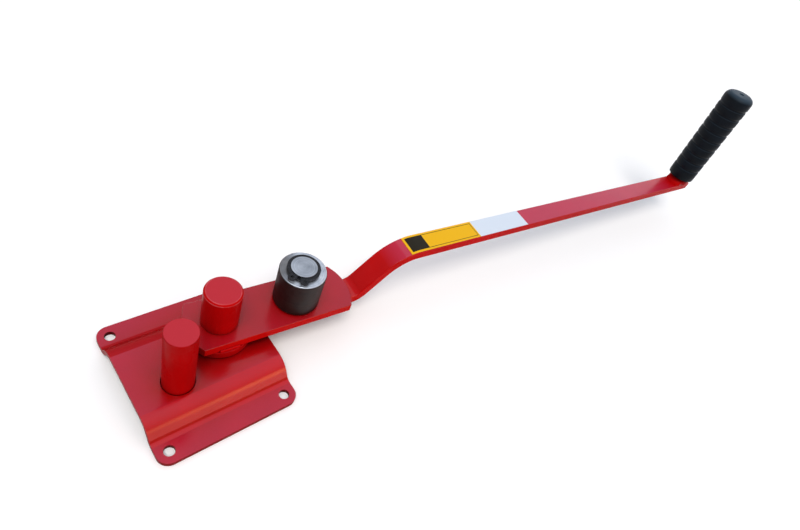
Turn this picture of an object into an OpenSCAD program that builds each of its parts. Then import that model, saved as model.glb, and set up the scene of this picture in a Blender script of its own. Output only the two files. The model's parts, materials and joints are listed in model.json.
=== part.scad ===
// Bench stirrup bender: a bolted base with two posts, and a hand lever that carries a roller.
// Millimetres, +Z up. The origin is the centre of the four bench holes, on the underside.

/* [Base] */
// Length of the base along its folds
base_length = 97; // [85:1:140]
// Thickness of the base sheet
base_t = 3.5; // [2.5:0.25:5]
// Rise of the raised middle over the flanges
hat_rise = 12.25; // [11:0.25:20]
// Width of the flat top of the raised middle
hat_flat = 43.5; // [43:0.5:60]
// Slope of the folded sides
hat_angle = 55; // [40:1:65]
// Outer radius of the upper folds
hat_top_r = 14.7; // [8:0.1:15.5]
// Inner radius of the folds at the flanges
hat_foot_r = 5.3; // [2:0.1:6]
// Width of each flat flange
flange_w = 13.8; // [13:0.2:25]
// Distance of a bench hole from the two nearest edges, and radius of the corners
bolt_edge = 8.2; // [6:0.1:8.5]
// Diameter of the bench holes
bolt_hole_d = 7.2; // [5:0.1:8.4]

/* [Posts] */
// Place of the stop pin along X
stop_x = -19.2; // [-24:0.1:-17]
// Place of the stop pin along Y
stop_y = -10.7; // [-10.7:0.1:-4]
// Diameter of the stop pin
stop_d = 20.6; // [14:0.2:20.6]
// Height of the stop pin over the base
stop_h = 54.8; // [35:0.1:80]
// Gap round the stop pin in its hole
stop_hole_gap = 0.6; // [0.2:0.1:0.6]
// Place of the lever's pivot along X
pivot_x = 19.45; // [19:0.05:24]
// Place of the lever's pivot along Y
pivot_y = 12.55; // [8:0.05:12.55]
// Diameter of the centre pin's head
head_d = 25.4; // [24:0.2:30]
// Height of the centre pin over the lever plate
head_h = 32.4; // [15:0.1:50]
// Chamfer on top of the centre pin
head_chamfer = 1.3; // [0.5:0.1:2.5]
// Diameter of the centre pin's shank
shank_d = 18; // [12:0.2:18]
// How far both posts stand out under the base
post_tail = 3.5; // [2:0.1:5]
// Leg of the weld beads
weld_leg = 3; // [2:0.1:3.4]

/* [Lever plate] */
// Direction of the lever in the stored pose
lever_angle = -5.25; // [-20:0.25:20]
// Width of the plate
plate_w = 40; // [36:0.5:50]
// Thickness of the plate
plate_t = 7; // [5:0.25:10]
// Reach of the plate's tail behind the pivot
plate_tail = 23.3; // [22:0.1:26]
// Reach of the plate's nose in front of the pivot
plate_nose = 100.7; // [95:0.1:140]
// Radius of the plate's curved ends
plate_end_r = 37.3; // [26:0.1:80]
// How far the pivot boss stands out beside the plate
boss_lip = 2.5; // [1.5:0.1:4]
// Height of the pivot boss
boss_h = 6.1; // [4.5:0.1:10]
// Thickness of the thrust washer under the boss
thrust_t = 1; // [0.6:0.1:2]
// Wall of the pivot bush
pivot_bush_wall = 2; // [1:0.1:2.5]

/* [Roller] */
// Distance of the roller from the pivot
roller_u = 57.3; // [52:0.1:75]
// Diameter of the roller
roller_d = 33.8; // [30:0.2:36]
// Height of the roller
roller_h = 31.3; // [20:0.1:45]
// Chamfer on the roller's rims
roller_chamfer = 0.8; // [0.3:0.1:1.5]
// Thickness of the washer under the roller
roller_washer_t = 1; // [0.5:0.1:2]
// Diameter of the roller's axle
axle_d = 19; // [17:0.1:20]
// Diameter of the axle's spigot in the plate
spigot_d = 15; // [10:0.2:16]
// Height of the axle over the roller
axle_stub = 3.3; // [3.2:0.1:6]
// Wall of the roller's bush
roller_bush_wall = 2; // [1:0.1:3]
// Thickness of the washer under the circlip
clip_washer_t = 1; // [0.5:0.1:1]
// Thickness of the circlip
clip_t = 1.4; // [0.8:0.1:1.5]
// Depth of the circlip's groove
clip_groove = 0.7; // [0.4:0.1:1]
// Width of the circlip's band outside the axle
clip_band = 2.3; // [1.2:0.1:2.6]
// Direction of the circlip's open end, from the lever
clip_angle = -136; // [-180:1:180]
// Half the opening between the circlip's two lugs
clip_half_gap = 7; // [5:1:20]

/* [Arm] */
// Width of the arm's flat bar
arm_w = 19; // [16:0.5:24]
// Thickness of the arm's flat bar
arm_t = 8; // [6:0.25:8]
// Length of the arm that lies under the plate
arm_lap = 25.7; // [15:0.1:27]
// Straight stretch between the plate's nose and the first bend
arm_lead = 3.4; // [1:0.1:20]
// Angle of the rise in the S
kick_angle = 49; // [30:1:60]
// Middle radius of the lower bend
kick_r = 13; // [9:0.5:20]
// Straight length between the two bends
kick_len = 23.5; // [10:0.5:40]
// Middle radius of the upper bend
crest_r = 38; // [20:0.5:50]
// Fall of the long straight stretch
arm_droop = 1.5; // [0:0.1:4]
// Width of the labels on the arm
label_w = 18; // [10:0.5:18.4]
// Thickness of the labels
label_t = 0.25; // [0.1:0.05:0.5]
// Flat length of the front label
front_label_len = 66; // [30:1:100]
// Part of the upper bend that the front label reaches over
front_label_wrap = 13; // [2:1:25]
// Length of the rear label
rear_label_len = 61; // [30:1:90]

/* [Handle] */
// Distance of the handle from the pivot
handle_u = 565.8; // [420:0.1:800]
// How far the middle of the arm's square end lies past the handle
arm_tail = 7.8; // [0:0.1:15]
// Radius of the corners of the arm's end
arm_corner_r = 3; // [1:0.5:8]
// Sideways lean of the handle
handle_lean = 3.3; // [0:0.1:6]
// Diameter of the disc under the grip
disc_d = 22.5; // [19.5:0.5:28]
// Height of the disc under the grip
disc_h = 6.7; // [5.5:0.1:10]
// Width of the weld round the foot of the disc
handle_weld_w = 4; // [2:0.25:5]
// Height of that weld on the disc
handle_weld_h = 4.3; // [2:0.1:4.5]
// Bevel on top of the disc
disc_bevel = 1.3; // [0.5:0.1:2]
// Diameter of the rod inside the grip
rod_d = 14; // [10:0.5:15]
// Length of the grip
grip_len = 108.5; // [80:0.5:140]
// Diameter of the grip at its foot
grip_foot_d = 29.2; // [24:0.2:34]
// Diameter of the grip below its cap
grip_head_d = 31; // [26:0.2:38]
// Radius of the grip's rounded end
grip_round = 6; // [3:0.5:9]
// Number of rings round the grip
grip_rings = 8; // [4:1:14]
// Depth of the grooves between the rings
grip_groove = 0.5; // [0.3:0.1:1.2]

/* [Fits] */
// Running clearance of the two bearings, on the radius
run_clear = 0.05; // [0.02:0.01:0.09]
// End play of the lever and of the roller
end_play = 0.3; // [0.1:0.05:0.4]

/* [Hidden] */
$fn = 120;

paint_red = "#b5141c";
bare_steel = "#8d9096";
bronze = "#a9814a";
spring_black = "#1c1c20";
rubber_black = "#16181c";
label_yellow = "#f4bf22";
label_white = "#e6ecf5";

// Flats in each bend of the sheet and of the arm
bend_steps = 20;

// Reach of a cutter past the faces that it cuts
cut = 1;

// Folded sides of the base, measured on the upper face
hat_slope_len = (hat_rise - (hat_top_r + hat_foot_r) * (1 - cos(hat_angle))) / sin(hat_angle);
hat_run = (hat_top_r + hat_foot_r) * sin(hat_angle) + hat_slope_len * cos(hat_angle);
foot_y = hat_flat / 2 + hat_run;
base_width = 2 * (foot_y + flange_w);
base_top = base_t + hat_rise;
bolt_x = base_length / 2 - bolt_edge;
bolt_y = base_width / 2 - bolt_edge;

// Levels of the lever
boss_z = base_top + thrust_t;
plate_z = boss_z + boss_h;
plate_top = plate_z + plate_t;
boss_r = plate_w / 2 + boss_lip;
boss_half_chord = sqrt(boss_r * boss_r - plate_w * plate_w / 4);
pivot_bush_d = shank_d + 2 * (run_clear + pivot_bush_wall);
thrust_d = 2 * boss_r - 4;

// Levels of the roller
roller_z = plate_top + roller_washer_t;
roller_top = roller_z + roller_h;
axle_top = roller_top + axle_stub;
clip_z = roller_top + end_play + clip_washer_t;
clip_r = axle_d / 2 + clip_band;
lug_r = 2.9;
roller_bush_d = axle_d + 2 * (run_clear + roller_bush_wall);

// Arm, along the lever (u) and up (z)
arm_u = plate_nose - arm_lap;
bend1_u = plate_nose + arm_lead;
arm_mid_z = plate_z - arm_t / 2;
crest_out_r = crest_r + arm_t / 2;
bend2_u = bend1_u + (kick_r + crest_r) * sin(kick_angle) + kick_len * cos(kick_angle);
bend2_z = arm_mid_z + kick_r - (kick_r + crest_r) * cos(kick_angle) + kick_len * sin(kick_angle);
straight_u = bend2_u + crest_out_r * sin(arm_droop);
straight_z = bend2_z + crest_out_r * cos(arm_droop);
function arm_top(u) = straight_z - tan(arm_droop) * (u - straight_u);
arm_end_u = handle_u + arm_tail;
arm_len = (arm_end_u + arm_w - bend2_u) / cos(arm_droop);
tall = 2 * (straight_z + grip_len);

// Handle, measured along its own leaning axis from the top of the arm
disc_z = disc_d / 2 * (sin(handle_lean) + sin(arm_droop)) + 0.1;
grip_z = disc_z + disc_h;
rod_top = grip_len - 2 * grip_round;
handle_weld_r = disc_d / 2 + handle_weld_w;
ring_pitch = (grip_len - 4.6 * grip_round) / grip_rings;
function grip_r(z) = (grip_foot_d + (grip_head_d - grip_foot_d) * z / grip_len) / 2;

// Points of a bend, and lists of points turned round or mirrored
function arc(centre, r, from, to) = [
    for (i = [0 : bend_steps]) let (a = from + (to - from) * i / bend_steps) centre + r * [cos(a), sin(a)]
];
function backwards(points) = [for (i = [len(points) - 1 : -1 : 0]) points[i]];
function mirrored(points) = [for (p = points) [-p[0], p[1]]];

// Part of a ring between two angles less than a quarter turn apart
module ring_sector(inner_r, outer_r, from, to) {
    reach = 2 * outer_r;
    intersection() {
        difference() {
            circle(r = outer_r);
            circle(r = inner_r);
        }
        rotate(from) square(reach);
        rotate(to) translate([0, -reach]) square(reach);
    }
}

module rounded_plan(length, width, r) {
    square([length - 2 * r, width], center = true);
    square([length, width - 2 * r], center = true);
    for (x = [-1, 1], y = [-1, 1])
        translate([x * (length / 2 - r), y * (width / 2 - r)]) circle(r = r);
}

module washer(inner_d, outer_d, height) {
    difference() {
        cylinder(d = outer_d, h = height);
        translate([0, 0, -cut]) cylinder(d = inner_d, h = height + 2 * cut);
    }
}

// Fillet bead round a post, hanging from a face at z = 0
module round_bead(post_d, leg) {
    rotate_extrude() polygon([[post_d / 2, 0], [post_d / 2 + leg, 0], [post_d / 2, -leg]]);
}

module at_pivot() {
    translate([pivot_x, pivot_y, 0]) rotate([0, 0, lever_angle]) children();
}

module at_roller() {
    at_pivot() translate([roller_u, 0, 0]) children();
}

module at_handle() {
    at_pivot() translate([handle_u, 0, arm_top(handle_u)]) rotate([-handle_lean, 0, 0]) children();
}

// Upright outline along the lever, given the arm's width
module along_lever(width) {
    rotate([90, 0, 0]) linear_extrude(width, center = true) children();
}

// Centre of the arm's upper bend, turned with the long stretch behind it
module at_crest() {
    translate([bend2_u, bend2_z]) rotate(-arm_droop) children();
}

// Half of the base's section, from the middle to one edge: its upper line (sheet = 0) or lower line
function half_hat(sheet) = concat(
    arc([hat_flat / 2, base_top - hat_top_r], hat_top_r - sheet, 90, 90 - hat_angle),
    arc([foot_y, base_t + hat_foot_r], hat_foot_r + sheet, 270 - hat_angle, 270),
    [[foot_y + flange_w, base_t - sheet]]
);

// One line of the arm's section, at a height over its middle line
function arm_line(over) = concat(
    [[arm_u, arm_mid_z + over]],
    arc([bend1_u, arm_mid_z + kick_r], kick_r - over, -90, kick_angle - 90),
    arc([bend2_u, bend2_z], crest_r + over, 90 + kick_angle, 90 - arm_droop),
    [[bend2_u, bend2_z] + arm_len * [cos(arm_droop), -sin(arm_droop)]
        + (crest_r + over) * [sin(arm_droop), cos(arm_droop)]]
);

module base_sheet() {
    rotate([90, 0, 90]) linear_extrude(base_length, center = true) polygon(concat(
        half_hat(0), backwards(half_hat(base_t)),
        mirrored(half_hat(base_t)), backwards(mirrored(half_hat(0)))
    ));
}

module base_plate() {
    color(paint_red) difference() {
        intersection() {
            base_sheet();
            translate([0, 0, -cut]) linear_extrude(base_top + 2 * cut)
                rounded_plan(base_length, base_width, bolt_edge);
        }
        for (x = [-bolt_x, bolt_x], y = [-bolt_y, bolt_y])
            translate([x, y, -cut]) cylinder(d = bolt_hole_d, h = base_t + 2 * cut);
        translate([stop_x, stop_y, hat_rise - cut])
            cylinder(d = stop_d + 2 * stop_hole_gap, h = base_t + 2 * cut);
        translate([pivot_x, pivot_y, hat_rise - cut]) cylinder(d = shank_d, h = base_t + 2 * cut);
    }
}

module stop_pin() {
    color(paint_red) translate([stop_x, stop_y, hat_rise - post_tail])
        cylinder(d = stop_d, h = post_tail + base_t + stop_h);
}

module stop_pin_weld() {
    color(paint_red) difference() {
        translate([stop_x, stop_y, hat_rise]) round_bead(stop_d, weld_leg);
        base_sheet();
    }
}

module centre_pin() {
    head_z = plate_top + end_play;
    color(paint_red) translate([pivot_x, pivot_y, 0]) rotate_extrude() polygon([
        [0, hat_rise - post_tail],
        [shank_d / 2, hat_rise - post_tail],
        [shank_d / 2, head_z],
        [head_d / 2, head_z],
        [head_d / 2, plate_top + head_h - head_chamfer],
        [head_d / 2 - head_chamfer, plate_top + head_h],
        [0, plate_top + head_h]
    ]);
}

module centre_pin_weld() {
    color(paint_red) difference() {
        translate([pivot_x, pivot_y, hat_rise]) round_bead(shank_d, weld_leg);
        base_sheet();
    }
}

module thrust_washer() {
    color(bronze) translate([pivot_x, pivot_y, base_top])
        washer(shank_d + 2 * end_play, thrust_d, thrust_t);
}

module lever_plate() {
    color(paint_red) at_pivot() difference() {
        translate([0, 0, plate_z]) linear_extrude(plate_t) intersection() {
            translate([-plate_tail, -plate_w / 2]) square([plate_tail + plate_nose, plate_w]);
            union() {
                translate([plate_end_r - plate_tail, 0]) circle(r = plate_end_r);
                translate([0, -plate_w]) square([roller_u, 2 * plate_w]);
                translate([plate_nose - plate_end_r, 0]) circle(r = plate_end_r);
            }
        }
        translate([0, 0, plate_z - cut]) cylinder(d = pivot_bush_d, h = plate_t + 2 * cut);
        translate([roller_u, 0, plate_z - cut]) cylinder(d = spigot_d, h = plate_t + 2 * cut);
    }
}

module pivot_boss() {
    color(paint_red) at_pivot() translate([0, 0, boss_z]) washer(pivot_bush_d, 2 * boss_r, boss_h);
}

module pivot_boss_weld() {
    leg = boss_lip * 0.8;
    color(paint_red) at_pivot() for (side = [0, 1]) mirror([0, side, 0])
        translate([0, plate_w / 2, plate_z]) rotate([90, 0, 90])
            linear_extrude(boss_half_chord, center = true) polygon([[0, 0], [leg, 0], [0, leg]]);
}

module pivot_bush() {
    color(bronze) at_pivot() translate([0, 0, boss_z])
        washer(shank_d + 2 * run_clear, pivot_bush_d, boss_h + plate_t);
}

module arm() {
    color(paint_red) at_pivot() intersection() {
        along_lever(arm_w) polygon(concat(arm_line(arm_t / 2), backwards(arm_line(-arm_t / 2))));
        linear_extrude(tall) {
            translate([arm_u - cut, -arm_w / 2 - cut]) square([arm_end_u - arm_u + cut, arm_w + 2 * cut]);
            translate([arm_end_u, 0]) rounded_plan(arm_w, arm_w, arm_corner_r);
        }
    }
}

module arm_weld() {
    length = arm_lap - plate_end_r + sqrt(plate_end_r * plate_end_r - arm_w * arm_w) - weld_leg;
    color(paint_red) at_pivot() for (side = [0, 1]) mirror([0, side, 0])
        translate([arm_u, arm_w / 2, plate_z]) rotate([90, 0, 90])
            linear_extrude(length) polygon([[0, 0], [weld_leg, 0], [0, -weld_leg]]);
}

module roller_axle() {
    r = axle_d / 2;
    groove_top = clip_z + clip_t;
    tip = (axle_top - groove_top) / 3;
    color(bare_steel) at_roller() rotate_extrude() polygon([
        [0, plate_z],
        [spigot_d / 2, plate_z],
        [spigot_d / 2, plate_top],
        [r, plate_top],
        [r, clip_z],
        [r - clip_groove, clip_z],
        [r - clip_groove, groove_top],
        [r, groove_top],
        [r, axle_top - tip],
        [r - tip, axle_top],
        [0, axle_top]
    ]);
}

module roller_axle_weld() {
    color(paint_red) at_roller() translate([0, 0, plate_z - weld_leg])
        cylinder(d1 = spigot_d - weld_leg, d2 = spigot_d + weld_leg, h = weld_leg);
}

module roller_washer() {
    color(bare_steel) at_roller() translate([0, 0, plate_top])
        washer(axle_d + 2 * run_clear, roller_bush_d, roller_washer_t);
}

module roller() {
    color(bare_steel) at_roller() translate([0, 0, roller_z]) rotate_extrude() polygon([
        [roller_bush_d / 2, 0],
        [roller_d / 2 - roller_chamfer, 0],
        [roller_d / 2, roller_chamfer],
        [roller_d / 2, roller_h - roller_chamfer],
        [roller_d / 2 - roller_chamfer, roller_h],
        [roller_bush_d / 2, roller_h]
    ]);
}

module roller_bush() {
    color(bare_steel) at_roller() translate([0, 0, roller_z])
        washer(axle_d + 2 * run_clear, roller_bush_d, roller_h);
}

module clip_washer() {
    color(spring_black) at_roller() translate([0, 0, roller_top + end_play])
        washer(axle_d + 2 * run_clear, 2 * clip_r, clip_washer_t);
}

module roller_circlip() {
    reach = 2 * clip_r;
    lug_angle = clip_half_gap + asin(lug_r / clip_r);
    color(spring_black) at_roller() translate([0, 0, clip_z]) rotate([0, 0, clip_angle])
        linear_extrude(clip_t) difference() {
            union() {
                difference() {
                    circle(r = clip_r);
                    polygon([
                        [0, 0],
                        reach * [cos(clip_half_gap), sin(clip_half_gap)],
                        reach * [cos(clip_half_gap), -sin(clip_half_gap)]
                    ]);
                }
                for (side = [-1, 1]) rotate(side * lug_angle) translate([clip_r + lug_r / 3, 0]) circle(r = lug_r);
            }
            circle(r = axle_d / 2 - clip_groove);
            for (side = [-1, 1]) rotate(side * lug_angle)
                translate([clip_r + lug_r / 3, 0]) circle(r = lug_r / 2.4);
        }
}

module handle_disc() {
    r = disc_d / 2;
    neck_z = disc_h * 0.85;
    color(paint_red) at_handle() translate([0, 0, disc_z]) rotate_extrude() polygon([
        [rod_d / 2, 0],
        [r, 0],
        [r, neck_z - disc_bevel],
        [r - disc_bevel, neck_z],
        [r - disc_bevel, disc_h],
        [rod_d / 2, disc_h]
    ]);
}

module handle_rod() {
    color(paint_red) at_handle() translate([0, 0, disc_z]) cylinder(d = rod_d, h = disc_h + rod_top);
}

module handle_weld() {
    reach = disc_d;
    width = arm_w - 0.6;
    color(paint_red) difference() {
        intersection() {
            at_handle() translate([0, 0, -cut])
                cylinder(r1 = handle_weld_r, r2 = disc_d / 2, h = cut + disc_z + handle_weld_h);
            at_pivot() translate([handle_u - reach, -width / 2, 0]) cube([2 * reach, width, tall]);
        }
        at_handle() translate([0, 0, disc_z]) cylinder(d = disc_d, h = disc_h);
        at_pivot() translate([handle_u, 0, arm_top(handle_u)]) rotate([0, arm_droop, 0])
            translate([-reach, -reach, -reach]) cube([2 * reach, 2 * reach, reach]);
    }
}

module grip() {
    cap_z = grip_len - grip_round;
    cap_r = grip_r(grip_len);
    first_ring = 2.3 * grip_round;
    color(rubber_black) at_handle() translate([0, 0, grip_z]) rotate_extrude() polygon(concat(
        [[rod_d / 2, 0], [grip_r(0) - 1, 0], [grip_r(0), 1]],
        [for (ring = [0 : grip_rings], step = [0 : 3]) let (
            z = first_ring + ring * ring_pitch + (step - 1.5) * ring_pitch / 8,
            sunk = step == 1 || step == 2 ? grip_groove : 0
        ) [grip_r(z) - sunk, z]],
        [for (turn = [0 : 15 : 90])
            [cap_r - grip_round + grip_round * cos(turn), cap_z + grip_round * sin(turn)]],
        [[0, grip_len], [0, rod_top], [rod_d / 2, rod_top]]
    ));
}

module front_label() {
    color(label_yellow) at_pivot() along_lever(label_w) {
        at_crest() {
            ring_sector(crest_out_r, crest_out_r + label_t, 90, 90 + front_label_wrap);
            translate([0, crest_out_r]) square([front_label_len, label_t]);
        }
    }
}

module rear_label() {
    color(label_white) at_pivot() along_lever(label_w)
        at_crest() translate([front_label_len, crest_out_r])
            square([rear_label_len, label_t]);
}

base_plate();
stop_pin();
stop_pin_weld();
centre_pin();
centre_pin_weld();
thrust_washer();
lever_plate();
pivot_boss();
pivot_boss_weld();
pivot_bush();
arm();
arm_weld();
roller_axle();
roller_axle_weld();
roller_washer();
roller();
roller_bush();
clip_washer();
roller_circlip();
handle_disc();
handle_rod();
handle_weld();
grip();
front_label();
rear_label();
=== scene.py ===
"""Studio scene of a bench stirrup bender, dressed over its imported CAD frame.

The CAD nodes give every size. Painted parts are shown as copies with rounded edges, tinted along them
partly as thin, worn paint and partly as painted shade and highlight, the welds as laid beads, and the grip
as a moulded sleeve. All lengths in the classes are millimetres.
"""

import json
import logging
import math
from dataclasses import dataclass, replace
from enum import Enum
from typing import Any, Iterable, Mapping, Optional, Sequence

import bmesh
import bpy
from mathutils import Matrix, Vector

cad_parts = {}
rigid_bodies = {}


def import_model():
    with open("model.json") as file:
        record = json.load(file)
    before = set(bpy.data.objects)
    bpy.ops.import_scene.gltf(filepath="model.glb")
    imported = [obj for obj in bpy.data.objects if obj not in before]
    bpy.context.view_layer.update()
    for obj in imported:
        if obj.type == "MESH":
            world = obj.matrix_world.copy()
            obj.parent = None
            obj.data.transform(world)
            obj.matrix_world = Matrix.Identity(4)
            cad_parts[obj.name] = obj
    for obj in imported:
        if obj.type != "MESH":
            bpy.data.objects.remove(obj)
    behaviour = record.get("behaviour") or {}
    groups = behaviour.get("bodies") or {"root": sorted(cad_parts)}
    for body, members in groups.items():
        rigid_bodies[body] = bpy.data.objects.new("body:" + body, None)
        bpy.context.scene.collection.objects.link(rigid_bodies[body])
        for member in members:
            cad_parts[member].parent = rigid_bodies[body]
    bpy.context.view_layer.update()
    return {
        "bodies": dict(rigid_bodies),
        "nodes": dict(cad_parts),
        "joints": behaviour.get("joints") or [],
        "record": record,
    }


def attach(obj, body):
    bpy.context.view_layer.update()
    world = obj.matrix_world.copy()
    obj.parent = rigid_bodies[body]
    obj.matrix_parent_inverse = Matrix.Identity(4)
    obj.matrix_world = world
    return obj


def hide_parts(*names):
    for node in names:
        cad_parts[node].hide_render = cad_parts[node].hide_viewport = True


LOG = logging.getLogger("stirrup_bender")
MM = 0.001
EDGE_LAYER = "rounded_edge"
FRONT = Vector((0, -1, 0))
REAR = Vector((0, 1, 0))
WHITE = "#ffffff"
# Nearly all the values of a noise texture lie between these two.
NOISE_LOW = 0.3
NOISE_HIGH = 0.7
# Copies of CAD meshes: points that are one point, faces that are one flat, and edges that get rounded.
MERGE_MM = 0.002
FLAT_DEGREES = 0.3
SHARP_DEGREES = 30.0
FLAT_WEIGHT = 80


class Body(str, Enum):
    """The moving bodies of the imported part."""

    BASE = "base"
    LEVER = "lever"
    ROLLER = "roller"


class Slot(str, Enum):
    """The record's material slots."""

    RED_PAINT = "red_paint"
    BARE_STEEL = "bare_steel"
    ROLLER_STEEL = "roller_steel"
    SPRING_STEEL = "spring_steel"
    GRIP_RUBBER = "grip_rubber"


def linear(hex_colour: str) -> tuple[float, float, float, float]:
    """Turn an sRGB hex colour to linear light.

    Args:
        hex_colour: Six hex digits with a leading hash.

    Returns:
        Linear red, green, blue and an alpha of 1.
    """
    parts = [int(hex_colour[i : i + 2], 16) / 255 for i in (1, 3, 5)]
    red, green, blue = (c / 12.92 if c <= 0.04045 else ((c + 0.055) / 1.055) ** 2.4 for c in parts)
    return red, green, blue, 1.0


def add(
    tree: bpy.types.NodeTree,
    kind: str,
    inputs: Optional[Mapping[Any, Any]] = None,
    **settings: Any,
) -> bpy.types.Node:
    """Add a node with its settings, values and links.

    Args:
        tree: The node tree that gets the node.
        kind: The node's type name, without the ShaderNode prefix.
        inputs: By input name or number: a value, an output to link, or a node whose first output is linked.
        **settings: Properties of the node.

    Returns:
        The new node.
    """
    node = tree.nodes.new(f"ShaderNode{kind}")
    for name, value in settings.items():
        setattr(node, name, value)
    for key, value in (inputs or {}).items():
        socket = node.inputs[key]
        if isinstance(value, bpy.types.Node):
            value = next(output for output in value.outputs if output.enabled)
        if isinstance(value, bpy.types.NodeSocket):
            tree.links.new(value, socket)
        else:
            socket.default_value = value
    return node


def ramp(
    tree: bpy.types.NodeTree, factor: bpy.types.Node, stops: Sequence[tuple[float, str]]
) -> bpy.types.NodeSocket:
    """Add a colour ramp.

    Args:
        tree: The node tree.
        factor: The node that drives the ramp.
        stops: Places from 0 to 1 with their hex colours.

    Returns:
        The ramp's colour socket.
    """
    node = add(tree, "ValToRGB", {"Fac": factor})
    elements = node.color_ramp.elements
    while len(elements) < len(stops):
        elements.new(0.5)
    for element, (place, colour) in zip(elements, stops):
        element.position = place
        element.color = linear(colour)
    return node.outputs["Color"]


def start_material(name: str) -> tuple[bpy.types.Material, bpy.types.NodeTree, bpy.types.NodeSocket]:
    """Make an empty node material.

    Args:
        name: The material's name.

    Returns:
        The material, its tree and the output's surface socket.
    """
    material = bpy.data.materials.new(name)
    material.use_nodes = True
    tree = material.node_tree
    tree.nodes.clear()
    output = add(tree, "OutputMaterial")
    return material, tree, output.inputs["Surface"]


def part_coordinates(
    tree: bpy.types.NodeTree, place: Optional[Matrix] = None
) -> bpy.types.NodeSocket:
    """Give the place on the part in millimetres.

    Args:
        tree: The node tree.
        place: The frame that the coordinates are counted in, or None for the part's own.

    Returns:
        A vector socket.
    """
    coordinates = add(tree, "TexCoord").outputs["Object"]
    if place is None:
        place = Matrix.Identity(4)
    return add(
        tree, "Mapping",
        {
            "Vector": coordinates,
            "Location": place.to_translation(),
            "Rotation": place.to_euler(),
            "Scale": (MM, MM, MM),
        },
        vector_type="TEXTURE",
    ).outputs["Vector"]


@dataclass(frozen=True)
class RedEnamel:
    """Sprayed enamel on steel: deep red with a faint orange peel and a random tone, a painted sky
    reflection on open upward faces, painted shade in sheltered corners, and a patchy tint along rounded
    edges that is partly thin, worn paint and partly painted shade; where that tint is pale it is a painted
    highlight.
    """

    name: str = "sprayed_red_enamel"
    colour: str = "#be0507"
    thin_colour: str = "#b00406"
    # Colour of the painted sky reflection that upward faces open to the sky turn towards.
    painted_sky_sheen: str = "#b83a46"
    # Colour and strength of the painted shade in sheltered corners.
    painted_shade: str = "#3c0204"
    painted_shade_share: float = 0.85
    painted_shade_from: float = 0.7
    # Edge tint: a dark tint is painted shade along rounded edges, partly thin, worn paint; a pale tint is a
    # painted highlight.
    edge_colour: str = "#7c0d10"
    edge_share: float = 0.55
    shine: float = 0.02
    sky_sheen_share: float = 0.75
    smooth: float = 0.24
    peel_mm: float = 1.8
    cloud_mm: float = 30.0
    edge_patch_mm: float = 4.0
    shelter_mm: float = 40.0
    open_from: float = 0.55
    open_to: float = 0.96
    painted_shade_full: float = 0.2
    top_from: float = 0.75
    edge_patch_from: float = 0.42
    edge_patch_to: float = 0.6
    edge_patch_least: float = 0.4
    gloss_range: float = 0.1
    peel_depth_mm: float = 0.12
    peel_strength: float = 0.03

    def build(self) -> bpy.types.Material:
        """Build the material.

        Returns:
            The new material.
        """
        material, tree, surface = start_material(self.name)
        place = part_coordinates(tree)
        cloud = add(tree, "TexNoise", {"Vector": place, "Scale": 1 / self.cloud_mm, "Detail": 5.0})
        paint = ramp(tree, cloud, [(NOISE_LOW, self.thin_colour), (NOISE_HIGH, self.colour)])
        facing = add(tree, "SeparateXYZ", {"Vector": add(tree, "NewGeometry").outputs["Normal"]})
        # Painted sky reflection: upward faces that are open to the sky, judged by ambient occlusion, turn
        # towards a pale pink.
        upward = add(
            tree, "MapRange",
            {"Value": facing.outputs["Z"], "From Min": self.top_from, "To Max": self.sky_sheen_share},
        )
        shelter = add(tree, "AmbientOcclusion", {"Distance": self.shelter_mm * MM}, samples=8)
        open_sky = add(
            tree, "MapRange",
            {"Value": shelter.outputs["AO"], "From Min": self.open_from, "From Max": self.open_to},
        )
        share = add(tree, "Math", {0: upward, 1: open_sky}, operation="MULTIPLY")
        # Painted shade: places sheltered by nearby parts, judged by ambient occlusion, darken towards a
        # deep maroon.
        hidden = add(
            tree, "MapRange",
            {
                "Value": shelter.outputs["AO"], "From Min": self.painted_shade_from, "From Max": self.painted_shade_full,
                "To Max": self.painted_shade_share,
            },
        )
        shade_mixed = add(tree, "Mix", {0: hidden, 6: paint, 7: linear(self.painted_shade)}, data_type="RGBA")
        sky_sheened = add(tree, "Mix", {0: share, 6: shade_mixed, 7: linear(self.painted_sky_sheen)}, data_type="RGBA")
        # Rounded edges get the edge tint in noise patches: painted shade along the edges, partly worn
        # paint, or a painted highlight where the tint is pale.
        edge_patches = add(tree, "TexNoise", {"Vector": place, "Scale": 1 / self.edge_patch_mm, "Detail": 3.0})
        edge_patch_share = add(
            tree, "MapRange",
            {
                "Value": edge_patches, "From Min": self.edge_patch_from, "From Max": self.edge_patch_to,
                "To Min": self.edge_patch_least * self.edge_share, "To Max": self.edge_share,
            },
        )
        rounded = add(tree, "Attribute", attribute_name=EDGE_LAYER)
        edge = add(tree, "Math", {0: rounded.outputs["Fac"], 1: edge_patch_share}, operation="MULTIPLY")
        colour = add(tree, "Mix", {0: edge, 6: sky_sheened, 7: linear(self.edge_colour)}, data_type="RGBA")
        gloss = add(
            tree, "MapRange",
            {
                "Value": cloud, "From Min": NOISE_LOW, "From Max": NOISE_HIGH,
                "To Min": self.smooth + self.gloss_range, "To Max": self.smooth,
            },
        )
        peel = add(tree, "TexNoise", {"Vector": place, "Scale": 1 / self.peel_mm, "Detail": 1.0})
        bump = add(
            tree, "Bump",
            {
                "Height": peel, "Strength": self.peel_strength,
                "Distance": self.peel_depth_mm * MM,
            },
        )
        shader = add(
            tree, "BsdfPrincipled",
            {
                "Base Color": colour,
                "Roughness": gloss,
                "Normal": bump,
                "IOR": 1.5,
                "Specular IOR Level": self.shine,
            },
        )
        tree.links.new(shader.outputs["BSDF"], surface)
        return material


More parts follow.
